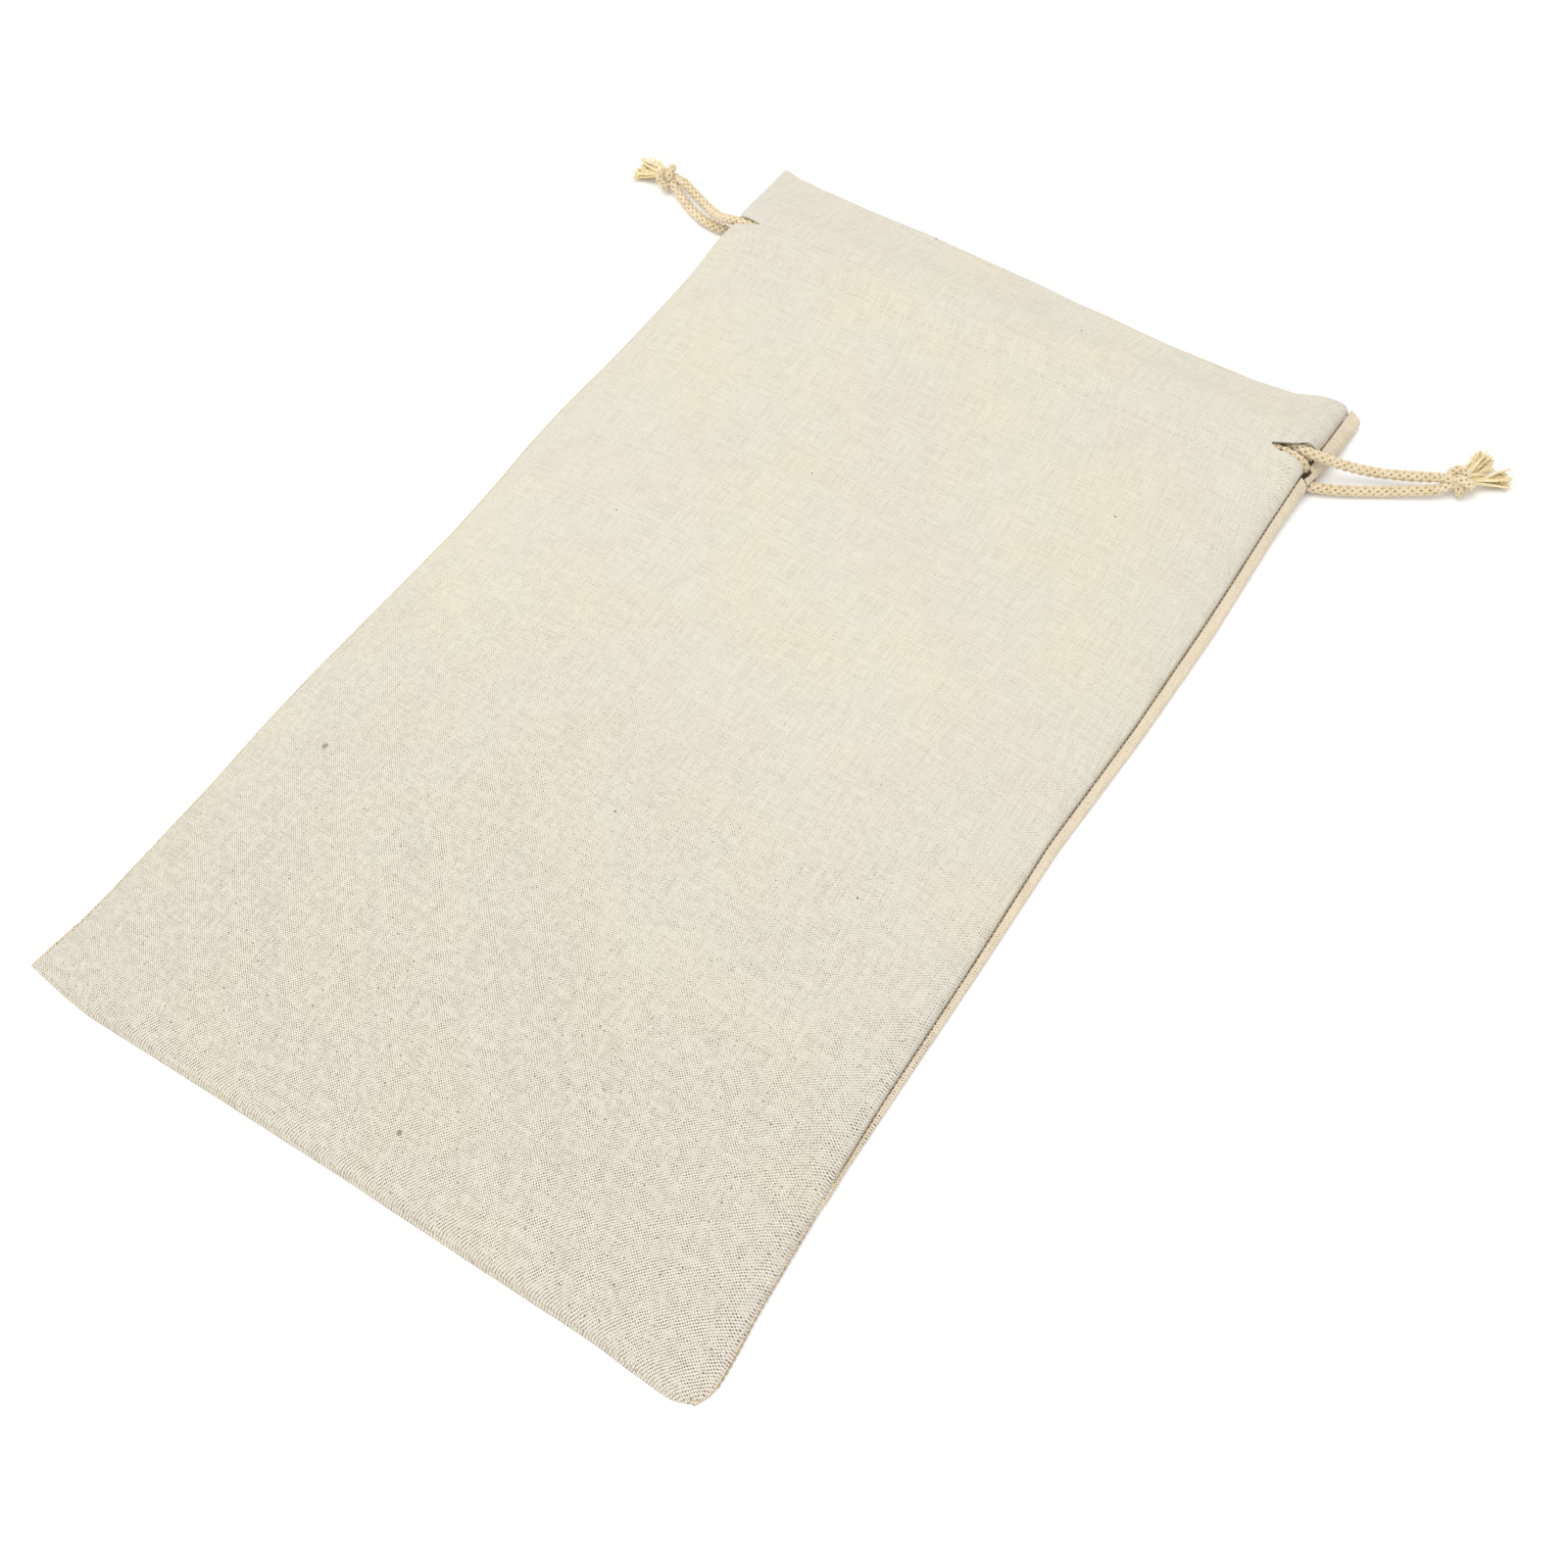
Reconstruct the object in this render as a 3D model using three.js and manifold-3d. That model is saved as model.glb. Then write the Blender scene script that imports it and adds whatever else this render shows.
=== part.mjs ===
// A flat drawstring shoe bag of natural calico, lying on its back panel with its mouth towards +Y.
// Millimetres, +Z up. The origin is the middle of the bag's footprint, on the surface it lies on.
import * as THREE from "three";
import { mergeVertices } from "three/addons/utils/BufferGeometryUtils.js";
import Module from "manifold-3d";

const wasm = await Module();
wasm.setup();

// ---- Driving dimensions ----
const CLOTH = 0.5; // one layer of calico
const CORD = 3.5; // braided cotton drawstring
const THREAD = 0.5; // sewing thread, as laid along a seam
const FIT = 0.3; // clearance between pieces that touch
const LEFT = -102; // left seam
const RIGHT = 97; // right seam, rolled onto the top
const SEAM_ROLL = 5; // back panel cloth that wraps round the right side
const LENGTH = 340; // bottom seam to mouth
const BOTTOM = -LENGTH / 2;
const MOUTH = LENGTH / 2;
const HEM_LINE = 127; // row of stitches that closes the drawstring channel
const INSIDE = 9.6; // height of the front panel's underside where the bag is open
const WAIST = 2.5; // how far the right side draws in below the hem
const MOUTH_DIP = 6; // how far the middle of the front panel's mouth edge hangs back
const PUCKER = 1; // how far the hem stitches lift the back panel off the surface
const SEAM_ROOM = 1.1; // space between the two panels' edges, for the seam thread

// Two cords lie side by side in each channel. Each runs straight, so that it can slide.
const UPPER_CORD_Y = 139.6;
const LOWER_CORD_Y = 135.2;
const CORD_IN_CHANNEL = CLOTH + FIT + CORD / 2; // height of a cord's middle over its channel's floor
const BACK_CORD_Z = CORD_IN_CHANNEL;
const FRONT_CORD_Z = INSIDE + CORD_IN_CHANNEL;
const CHANNEL_TOP = 2 * CLOTH + 2 * FIT + CORD;
const RUN_END = 88; // cords lie inside the channel as far as this on each side
const LOOP_REACH = 7; // how far a cord's turn bulges past the channel's end

const CALICO = { color: 0xe8dfd2, roughness: 0.95, metalness: 0 };
const COTTON_CORD = { color: 0xe6d9bb, roughness: 0.9, metalness: 0 };
const COTTON_THREAD = { color: 0xd9ccb4, roughness: 0.85, metalness: 0 };

const { lerp, clamp, smoothstep } = THREE.MathUtils;

// ---- Panels ----
// Height of a hemmed panel's upper face over its lower one, from the bottom seam to the mouth.
const PANEL_TOP = [
  [BOTTOM, CLOTH],
  [HEM_LINE - 5, CLOTH],
  [HEM_LINE, 2 * CLOTH],
  [HEM_LINE + 3.4, 1.4],
  [LOWER_CORD_Y - 2.2, CHANNEL_TOP],
  [UPPER_CORD_Y + 2.2, CHANNEL_TOP],
  [MOUTH - 22, 1.5],
  [MOUTH - 1.2, 1.3],
  [MOUTH, 0.8],
];
// Rows of points along the body, closer together near the bottom where the front panel rises.
const BODY_ROWS = [-168, -164, -157, -147, -133, -112, -80, -40, 0, 40, 75, 100, 114];

function alongTable(table, at) {
  const k = table.findIndex(([y]) => y >= at);
  if (k <= 0) return table[k === 0 ? 0 : table.length - 1][1];
  const [[y0, v0], [y1, v1]] = [table[k - 1], table[k]];
  return lerp(v0, v1, (at - y0) / (y1 - y0));
}

// Side view of a panel laid flat: the cloth, and the channel left inside its turned-down hem.
// Every second point of a level stretch is RIPPLE higher, so that the outline keeps them all as corners.
const RIPPLE = 0.001;

function panelProfile() {
  const rows = [...BODY_ROWS, ...PANEL_TOP.slice(1, -1).map(([y]) => y)];
  const under = rows.map((y, k) => [y, k % 2 ? 0 : RIPPLE]);
  const over = BODY_ROWS.map((y, k) => [y, CLOTH + (k % 2 ? 0 : RIPPLE)]);
  const hem = PANEL_TOP.slice(1);
  const outline = [[BOTTOM, 0], ...under, [MOUTH, 0.3], ...hem.reverse(), ...over.reverse(), [BOTTOM, CLOTH]];
  const channel = [
    [HEM_LINE + 2, CLOTH + 2 * RIPPLE],
    [HEM_LINE + 4.8, 0.9],
    [LOWER_CORD_Y - 1.85, CHANNEL_TOP - CLOTH],
    [UPPER_CORD_Y + 1.85, CHANNEL_TOP - CLOTH],
    [MOUTH - 22, 1],
    [MOUTH - 1.8, 0.8],
    [MOUTH - 1.8, CLOTH + 5 * RIPPLE],
    [MOUTH - 12, CLOTH + 2 * RIPPLE],
    [MOUTH - 22, CLOTH + 5 * RIPPLE],
    [UPPER_CORD_Y + 2.2, CLOTH + 2 * RIPPLE],
    [LOWER_CORD_Y - 2.2, CLOTH + 5 * RIPPLE],
    [HEM_LINE + 4.2, CLOTH + 3 * RIPPLE],
  ];
  const shape = new THREE.Shape(outline.map(([y, z]) => new THREE.Vector2(y, z)));
  shape.holes.push(new THREE.Path(channel.map(([y, z]) => new THREE.Vector2(y, z))));
  return shape;
}

function toSolid(geometry) {
  const bare = new THREE.BufferGeometry();
  bare.setAttribute("position", geometry.getAttribute("position"));
  if (geometry.index) bare.setIndex(geometry.index);
  const merged = mergeVertices(bare, 1e-4);
  return new wasm.Manifold(
    new wasm.Mesh({
      numProp: 3,
      vertProperties: merged.attributes.position.array,
      triVerts: new Uint32Array(merged.index.array),
    }),
  );
}

function toGeometry(solid) {
  const mesh = solid.getMesh();
  const geometry = new THREE.BufferGeometry();
  geometry.setAttribute("position", new THREE.BufferAttribute(mesh.vertProperties, 3));
  geometry.setIndex(new THREE.BufferAttribute(mesh.triVerts, 1));
  return geometry;
}

// The profile drawn out along X, with a ring of points at each of the given columns.
function flatPanel(columns) {
  const steps = columns.length - 1;
  const geometry = new THREE.ExtrudeGeometry(panelProfile(), { steps, depth: steps, bevelEnabled: false });
  const p = geometry.getAttribute("position");
  for (let i = 0; i < p.count; i++) {
    const column = columns[Math.round(p.getZ(i))];
    p.setXYZ(i, column, p.getX(i), p.getY(i));
  }
  return toSolid(geometry);
}

// An upright prism over an outline in the XY plane, for cutting a flat panel.
function prism(points, low, high) {
  const outline = new THREE.Shape(points.map(([x, y]) => new THREE.Vector2(x, y)));
  const geometry = new THREE.ExtrudeGeometry(outline, { depth: high - low, bevelEnabled: false });
  geometry.translate(0, 0, low);
  return toSolid(geometry);
}

function warped(solid, move) {
  const geometry = toGeometry(solid);
  const p = geometry.getAttribute("position");
  for (let i = 0; i < p.count; i++) p.setXYZ(i, ...move(p.getX(i), p.getY(i), p.getZ(i)));
  return geometry;
}

// The slit in a side seam, as an outline that widens from the cords' way out to past the edge.
function slitOutline(side) {
  const inner = side * RUN_END;
  const outer = side * 106;
  return [
    [inner, LOWER_CORD_Y - 2.1],
    [outer, LOWER_CORD_Y - 3.7],
    [outer, MOUTH - 21],
    [inner, UPPER_CORD_Y + 2.1],
  ];
}

function waist(x, y) {
  return -WAIST * smoothstep(x, 55, RIGHT) * smoothstep(HEM_LINE - y, 10, HEM_LINE);
}

function pucker(y) {
  return PUCKER * clamp(1 - Math.abs(y - HEM_LINE) / 4, 0, 1);
}

function backTop(y) {
  return pucker(y) + alongTable(PANEL_TOP, y);
}

// Rounded rise from a panel's edge: 0 at the edge, 1 once past the given width.
function crown(inset, width) {
  const t = clamp(inset / width, 0, 1);
  return Math.sqrt(1 - (1 - t) * (1 - t));
}

// The channel keeps its height nearly to the sides, while the body falls away softly.
const SIDE_FALL = [
  [BOTTOM, 60],
  [90, 60],
  [LOWER_CORD_Y - 4, 13],
  [UPPER_CORD_Y + 4, 13],
  [MOUTH, 26],
];

function frontUnderside(x, y) {
  const side = crown(Math.min(x - LEFT, RIGHT - x), alongTable(SIDE_FALL, y));
  const edge = backTop(y) + SEAM_ROOM;
  return lerp(edge, INSIDE, side * crown(y - BOTTOM, 55));
}

function backPanel() {
  const columns = [LEFT, -60, 0, 60, 88, RIGHT - 4, RIGHT, RIGHT + 2, RIGHT + SEAM_ROLL - 1, RIGHT + SEAM_ROLL];
  const roll = RIGHT + 0.5;
  const past = RIGHT + SEAM_ROLL + 5;
  const hemEnd = prism([[roll, HEM_LINE - 1], [past, HEM_LINE - 1], [past, MOUTH + 1], [roll, MOUTH + 1]], CLOTH, 9);
  const wrapGap = prism([[roll, 131], [past, 131], [past, 149], [roll, 149]], -1, 9);
  let solid = flatPanel(columns).subtract(hemEnd).subtract(wrapGap);
  for (const side of [-1, 1]) solid = solid.subtract(prism(slitOutline(side), CLOTH, 9));
  const rollRise = (x) => 1.8 * smoothstep(x, RIGHT - 0.5, RIGHT + SEAM_ROLL);
  return warped(solid, (x, y, z) => [x + waist(x, y), y, z + rollRise(x) + pucker(y)]);
}

function frontPanel() {
  const insets = [0, 1.2, 3, 5.5, 9, 14, 22, 34, 52, 75];
  const columns = [...insets.map((d) => LEFT + d), ...insets.map((d) => RIGHT - d).reverse()];
  let solid = flatPanel(columns);
  for (const side of [-1, 1]) solid = solid.subtract(prism(slitOutline(side), -1, 9));
  const corner = [[RIGHT - 7, BOTTOM - 1], [RIGHT + 1, BOTTOM - 1], [RIGHT + 1, BOTTOM + 7]];
  solid = solid.subtract(prism(corner, -1, 2));
  return warped(solid, (x, y, z) => {
    const mid = crown(Math.min(x - LEFT, RIGHT - x), 30);
    const dip = MOUTH_DIP * mid * smoothstep(y, UPPER_CORD_Y + 4, MOUTH);
    return [x + waist(x, y), y - dip, z + frontUnderside(x, y)];
  });
}

// ---- Tubes: threads and cords ----
function ring(diameter, sides) {
  const points = [];
  for (let i = 0; i < sides; i++) {
    const a = (2 * Math.PI * (i + 0.5)) / sides;
    points.push(new THREE.Vector2((Math.cos(a) * diameter) / 2, (Math.sin(a) * diameter) / 2));
  }
  return new THREE.Shape(points);
}

function tube(points, diameter, sides, steps) {
  const path = new THREE.CatmullRomCurve3(points.map((p) => new THREE.Vector3(...p)));
  return new THREE.ExtrudeGeometry(ring(diameter, sides), { steps, extrudePath: path, bevelEnabled: false });
}

function straight(from, to, diameter, sides) {
  const line = new THREE.LineCurve3(new THREE.Vector3(...from), new THREE.Vector3(...to));
  return new THREE.ExtrudeGeometry(ring(diameter, sides), { steps: 1, extrudePath: line, bevelEnabled: false });
}

// A seam thread between the two panels' edges, from one row to another.
function sideSeam(side, low, high, count) {
  const x = side > 0 ? RIGHT - 2 : LEFT + 2;
  const points = [];
  for (let i = 0; i <= count; i++) {
    const y = lerp(low, high, i / count);
    points.push([x + waist(x, y), y, (backTop(y) + frontUnderside(x, y)) / 2]);
  }
  return tube(points, THREAD, 5, 2 * count);
}

function bottomSeam() {
  const y = BOTTOM + 2;
  const points = [];
  for (let i = 0; i <= 12; i++) {
    const x = lerp(LEFT + 5, RIGHT - 9, i / 12);
    points.push([x, y, (CLOTH + frontUnderside(x, y)) / 2]);
  }
  return tube(points, THREAD, 5, 24);
}

function frontHemStitching() {
  const lift = 2 * CLOTH + FIT + THREAD / 2 + 0.1;
  const points = [];
  for (let i = 0; i <= 24; i++) {
    const x = lerp(LEFT + 9, RIGHT - 9, i / 24);
    points.push([x, HEM_LINE, frontUnderside(x, HEM_LINE) + lift]);
  }
  return tube(points, THREAD, 5, 48);
}

function backHemStitching() {
  const z = PUCKER - FIT - THREAD / 2 - 0.1;
  return straight([LEFT + 4, HEM_LINE, z], [RIGHT - 4, HEM_LINE, z], THREAD, 5);
}

// ---- Drawstrings ----
// The turn that a cord makes at the far slit, from the front channel down to the back one.
function cordTurn(side, frontY, backY) {
  const start = side * (RUN_END + 2);
  const points = [];
  for (let i = 0; i <= 8; i++) {
    const a = (Math.PI * i) / 8;
    const t = (1 - Math.cos(a)) / 2;
    points.push([
      start + side * LOOP_REACH * Math.sin(a),
      lerp(frontY, backY, t),
      lerp(FRONT_CORD_Z, BACK_CORD_Z, t),
    ]);
  }
  return tube(points, CORD, 8, 10);
}

// A cord inside its channel: from just short of its turn at one side to its tail at the other.
function cordRun(side, y, z) {
  const farEnd = -side * (RUN_END + 2 - 2 * FIT);
  return straight([farEnd, y, z], [side * RUN_END, y, z], CORD, 8);
}

// A tail starts where its run ends, and lies down outside the bag as far as the knot.
const RIGHT_FRONT_TAIL = [
  [88.4, 139.6, 12.1],
  [94.5, 139.8, 12],
  [99.5, 140.7, 10.7],
  [104.5, 143, 8],
  [109.5, 145.8, 6],
  [115, 148.8, 4.8],
  [121, 151.8, 4.6],
  [126.5, 154.3, 5],
  [130.5, 156.2, 5.6],
];
const RIGHT_BACK_TAIL = [
  [88.4, 135.2, 2.6],
  [95, 135.2, 2.6],
  [101, 136, 2.6],
  [106.5, 138.3, 2.4],
  [112.5, 141.6, 2.2],
  [118.5, 145.1, 2.2],
  [124.5, 148.6, 2.6],
  [131.5, 152.6, 3.3],
];
const LEFT_FRONT_TAIL = [
  [-88.4, 135.2, 12.1],
  [-95, 135, 12.1],
  [-100, 135.9, 11],
  [-104.3, 138.2, 8.3],
  [-108.5, 140.8, 6.2],
  [-113.5, 143.3, 5],
  [-119, 145.6, 4.7],
  [-127, 148.4, 5.3],
];
const LEFT_BACK_TAIL = [
  [-88.4, 139.6, 2.6],
  [-95, 139.5, 2.7],
  [-101, 138.9, 2.8],
  [-107, 138.4, 2.3],
  [-113, 139.1, 2.2],
  [-119, 141.1, 2.3],
  [-126.5, 144.9, 3.1],
];

// A round bump about its own axis, which lies along +X before it is placed.
function bead(profile, segments) {
  const geometry = new THREE.LatheGeometry(profile.map(([x, r]) => new THREE.Vector2(r, x)), segments);
  return geometry.rotateZ(-Math.PI / 2);
}

const KNOT = { length: 9, radius: 4.7, squash: 0.94 };
const TASSEL = { length: 13, neck: 1.9, end: 4.6, squash: 0.62 };

function knot() {
  const profile = [];
  for (let i = 0; i <= 10; i++) {
    const a = (Math.PI * i) / 10;
    profile.push([(-Math.cos(a) * KNOT.length) / 2, i % 10 === 0 ? 0 : Math.sin(a) * KNOT.radius]);
  }
  return bead(profile, 16);
}

function tassel() {
  const { length, neck, end } = TASSEL;
  return bead([[0, 0], [0, neck], [length * 0.35, neck * 1.35], [length * 0.8, end], [length, end * 0.8], [length, 0]], 14);
}

// ---- Assembly ----
const bag = new THREE.Group();
bag.name = "shoe_bag";

function add(name, geometry, look) {
  const mesh = new THREE.Mesh(geometry, new THREE.MeshStandardMaterial(look));
  mesh.name = name;
  bag.add(mesh);
  return mesh;
}

add("back_panel", backPanel(), CALICO);
add("front_panel", frontPanel(), CALICO);
add("front_hem_stitching", frontHemStitching(), COTTON_THREAD);
add("back_hem_stitching", backHemStitching(), COTTON_THREAD);
add("bottom_seam_stitching", bottomSeam(), COTTON_THREAD);
for (const [hand, side] of [["left", -1], ["right", 1]]) {
  add(`${hand}_side_seam_stitching`, sideSeam(side, BOTTOM + 9, LOWER_CORD_Y - 8, 14), COTTON_THREAD);
  add(`${hand}_mouth_seam_stitching`, sideSeam(side, MOUTH - 19, MOUTH - 2, 3), COTTON_THREAD);
}

function addDrawstring(hand, side, frontY, backY, tails, knotAt, tasselTowards) {
  add(`${hand}_cord_front_run`, cordRun(side, frontY, FRONT_CORD_Z), COTTON_CORD);
  add(`${hand}_cord_back_run`, cordRun(side, backY, BACK_CORD_Z), COTTON_CORD);
  add(`${hand}_cord_turn`, cordTurn(-side, frontY, backY), COTTON_CORD);
  add(`${hand}_cord_front_tail`, tube(tails[0], CORD, 8, 9), COTTON_CORD);
  add(`${hand}_cord_back_tail`, tube(tails[1], CORD, 8, 9), COTTON_CORD);
  const knotMesh = add(`${hand}_cord_knot`, knot(), COTTON_CORD);
  knotMesh.position.set(...knotAt);
  const heading = Math.atan2(tasselTowards[1] - knotAt[1], tasselTowards[0] - knotAt[0]);
  knotMesh.rotation.z = heading;
  knotMesh.scale.z = KNOT.squash;
  const tasselMesh = add(`${hand}_cord_tassel`, tassel(), COTTON_CORD);
  const start = KNOT.length / 2 + FIT;
  tasselMesh.position.set(
    knotAt[0] + start * Math.cos(heading),
    knotAt[1] + start * Math.sin(heading),
    TASSEL.end * TASSEL.squash + 0.3,
  );
  tasselMesh.rotation.z = heading;
  tasselMesh.scale.z = TASSEL.squash;
}

addDrawstring(
  "right",
  1,
  UPPER_CORD_Y,
  LOWER_CORD_Y,
  [RIGHT_FRONT_TAIL, RIGHT_BACK_TAIL],
  [136.2, 157.6, 4.8],
  [142.5, 172],
);
addDrawstring(
  "left",
  -1,
  LOWER_CORD_Y,
  UPPER_CORD_Y,
  [LEFT_FRONT_TAIL, LEFT_BACK_TAIL],
  [-132.8, 147.9, 4.8],
  [-147.3, 150.6],
);

export default bag;
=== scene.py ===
import math

import bpy
import numpy as np
from mathutils import Matrix, Vector


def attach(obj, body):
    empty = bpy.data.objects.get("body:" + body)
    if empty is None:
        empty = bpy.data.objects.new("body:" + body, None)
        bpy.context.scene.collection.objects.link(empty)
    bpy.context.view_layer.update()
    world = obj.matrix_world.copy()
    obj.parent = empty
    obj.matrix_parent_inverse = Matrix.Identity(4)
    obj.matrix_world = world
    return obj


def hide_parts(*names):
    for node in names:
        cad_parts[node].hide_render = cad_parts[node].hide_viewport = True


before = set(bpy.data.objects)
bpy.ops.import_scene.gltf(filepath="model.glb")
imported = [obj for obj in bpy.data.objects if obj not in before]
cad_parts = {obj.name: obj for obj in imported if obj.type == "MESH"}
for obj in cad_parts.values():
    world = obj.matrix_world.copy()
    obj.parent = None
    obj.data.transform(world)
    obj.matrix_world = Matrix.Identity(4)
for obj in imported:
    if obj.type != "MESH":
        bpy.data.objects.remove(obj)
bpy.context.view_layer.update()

MM = 0.001
SEED = 7

# ---- Driving dimensions ----
CLOTH = 0.5  # one layer of calico
LIP = 0.7  # the turned edge of a cord slit
LIP_DROOP = 0.4  # how far that edge bends down onto the cord
CORD_SHOWN = 3.35  # across the braid's strands, which its loose fibres fill out to the full size
BOTTOM = -170.0
BOW_END = -60.0  # the bottom edge's bow has died away by here
MOUTH_PULL = 141.0  # and here the waves of the mouth line begin
MOUTH = 170.0
HEM_LINE = 125.2
HEM_TURN = 120.5  # where the raw edge of the hem ends, inside the bag
INSIDE_TOP = 10.1  # upper face of the front panel where the bag is open
BOTTOM_EDGE_Z = 1.1  # and at the bottom seam
CORD_YS = (135.2, 139.6)
BACK_CORD_Z = 2.55
FRONT_CORD_Z = 12.15
RUN_END = 88.0  # a run through a channel ends here, and its tail goes on from there
TURN_START = 90.0  # a cord's turn leaves the channels here
TURN_REACH = 7.0  # and comes this much further out through the slit
TURN_GAP = 0.6  # between a run's other end and where the turn starts


class Curve:
    """A value that follows (place, value) pairs, softened over the given distance."""

    def __init__(self, pairs, soften=2.0):
        pairs = np.array(pairs, float)
        step = 0.25
        margin = 4 * soften
        self.at = np.arange(pairs[0, 0] - margin, pairs[-1, 0] + margin + step, step)
        raw = np.interp(self.at, pairs[:, 0], pairs[:, 1])
        reach = np.arange(-4 * soften, 4 * soften + step, step)
        weights = np.exp(-0.5 * (reach / soften) ** 2)
        padded = np.pad(raw, len(reach) // 2, mode="edge")
        self.value = np.convolve(padded, weights / weights.sum(), mode="valid")[: len(self.at)]

    def __call__(self, place):
        return np.interp(place, self.at, self.value)


def smoothstep(value, low, high):
    t = np.clip((value - low) / (high - low), 0, 1)
    return t * t * (3 - 2 * t)


def crown(inset, width):
    """Rounded rise from an edge: 0 at the edge, 1 once past the given width."""
    t = np.clip(inset / width, 0, 1)
    return np.sqrt(1 - (1 - t) ** 2)


# ---- Outlines of the bag, seen from above ----
# Where the side seams run, by distance along the bag.
LEFT_SEAM = Curve([
    (-170, -102.2), (-163, -101.7), (-156, -100.6), (-147, -100), (-107, -100), (-88, -100.7),
    (-68, -100.8), (-48, -100.2), (-8, -99.2), (12, -99.7), (32, -100.9), (52, -101.2), (72, -100.3),
    (91, -100.4), (111, -99.8), (125, -98.8), (136, -97.6), (142, -98), (150, -99.2), (160, -100.2),
    (171, -101.4),
], 3)
RIGHT_SEAM = Curve([
    (-171, 93.8), (-169.5, 95.9), (-168, 97.1), (-166.5, 97.5), (-165, 97.4), (-158, 97.1),
    (-148, 96.2), (-128, 95.4), (-108, 94.6), (-88, 94.1), (-47, 94.2), (-7, 93.7), (35, 95.9),
    (75, 96.7), (115, 96.8), (136, 97.8), (150, 98.4), (170, 98.6),
], 1.5)
# How far the back panel's cloth comes round past the right seam, and past the left one.
RIGHT_ROLL = Curve([
    (-170, -0.9), (-128, -0.9), (-118, -0.1), (-108, 0.9), (-88, 1.6), (-47, 2.1), (-7, 2.8),
    (35, 3.1), (75, 3.5), (115, 2.9), (132, 2.6), (150, 4.1), (170, 4.5),
], 3)
LEFT_ROLL = Curve([(-170, 0.5), (90, 0.8), (120, 2.2), (136, 3.6), (150, 2.4), (170, 0.9)], 3)
# How high each seam lies.
RIGHT_RISE = Curve([
    (-170, 1.1), (-140, 1.6), (-60, 2.4), (90, 3), (115, 4.6), (127, 7.2), (136, 9), (146, 8.2),
    (158, 6.4), (170, 4.6),
], 3)
LEFT_RISE = Curve([
    (-170, 1.1), (-140, 1.7), (-60, 2.3), (90, 2.8), (115, 4.4), (127, 7.4), (136, 9), (146, 7.8),
    (158, 5.4), (170, 3.9),
], 3)
# By distance across the bag: how far the bottom edge stands in from its straight line, and where the
# front and back panels' mouths run.
BOTTOM_BOW = Curve([
    (-103, -0.1), (-92, -1.5), (-82, -2.2), (-42, -0.8), (-2, 0.4), (38, 1.1), (68, 1.8), (88, 1.1),
    (90.5, 1.2), (92.5, 1.7), (94.6, 2.9), (97.3, 4.6), (99, 5),
], 1.5)
FRONT_MOUTH = Curve([
    (-102, 169.2), (-97, 166.2), (-92, 163.6), (-82, 161.6), (-62, 161.1), (-42, 161.3), (-22, 160.3),
    (-2, 159.5), (18, 157.7), (38, 156.4), (58, 155.9), (66, 156), (74.6, 156.7),
    (83.5, 158), (87.2, 160), (90.8, 162.4), (94.2, 163.6), (97.2, 165.2), (99, 165.5),
], 1.0)
BACK_MOUTH = Curve([
    (-102, 170), (-20, 169.6), (18, 168.8), (38, 167.4), (70, 167.4), (84, 168.2), (95, 168.6),
    (99, 168), (101.5, 166.8), (104, 165.6),
], 1.5)

# ---- Heights ----
# How far in from a side, and from the bottom, the front panel reaches its full height.
SIDE_FALL = Curve([(-170, 60), (85, 60), (126, 26), (133, 14), (142, 14), (170, 26)], 3)
BOTTOM_FALL = 62.0
# How far the hem and the cords lift the front panel, and the back panel's hem.
RIDGE = Curve([
    (70, 0), (100, 0.9), (118, 2), (125, 2.55), (129, 3.3), (132.7, 4.7), (142.2, 4.7), (150, 3.3),
    (170, 1.6),
], 1.1)
BACK_RIDGE = Curve([
    (118, 0), (125, 0.5), (130.2, 0.8), (132.7, 4.7), (142.2, 4.7), (148, 1.1), (170, 0.75),
], 1.1)


def undulation(x, y, seed, size):
    """Slow waves in cloth that has been folded and smoothed out, as a height in millimetres."""
    draw = np.random.default_rng(seed)
    total = np.zeros(np.broadcast(x, y).shape)
    for _ in range(9):
        length = draw.uniform(45, 150)
        angle = draw.uniform(0, math.pi)
        phase = draw.uniform(0, 2 * math.pi)
        along = x * math.cos(angle) + y * math.sin(angle)
        total += np.sin(along * 2 * math.pi / length + phase) * length / 100
    return size * total / 3


def across_bag(y, share):
    """A place between the side seams at y: the left seam is at 0 and the right one at 1."""
    return LEFT_SEAM(y) + (RIGHT_SEAM(y) - LEFT_SEAM(y)) * share


def inset(x, y):
    """How far a place is inside the nearer side seam."""
    return np.minimum(x - LEFT_SEAM(y), RIGHT_SEAM(y) - x)


def shown_y(x, y, mouth):
    """Where a panel's row lies once its bottom edge bows and its mouth follows its own line."""
    bowed = y + BOTTOM_BOW(x) * (1 - smoothstep(y, BOTTOM, BOW_END))
    return bowed + (mouth(x) - MOUTH) * smoothstep(y, MOUTH_PULL, MOUTH)


def body_height(x, y):
    """Upper face of the front panel, without what its hem and the cords lift."""
    from_left = x - LEFT_SEAM(y)
    from_right = RIGHT_SEAM(y) - x
    near_left = from_left < from_right
    edge = np.where(near_left, LEFT_RISE(y), RIGHT_RISE(y))
    side = crown(np.minimum(from_left, from_right), SIDE_FALL(y))
    end = crown(y - BOTTOM - 0.4, BOTTOM_FALL)
    waves = undulation(x, y, SEED, 0.32) * side * end
    return edge + (INSIDE_TOP - edge) * side * end - (edge - BOTTOM_EDGE_Z) * (1 - end) + waves


def ridge_height(x, y):
    """How far the cords and the hem lift the front panel, which is least beside the seams."""
    return RIDGE(y) * (0.12 + 0.88 * crown(inset(x, y), 6))


def front_height(x, y):
    return body_height(x, y) + ridge_height(x, y)


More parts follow.
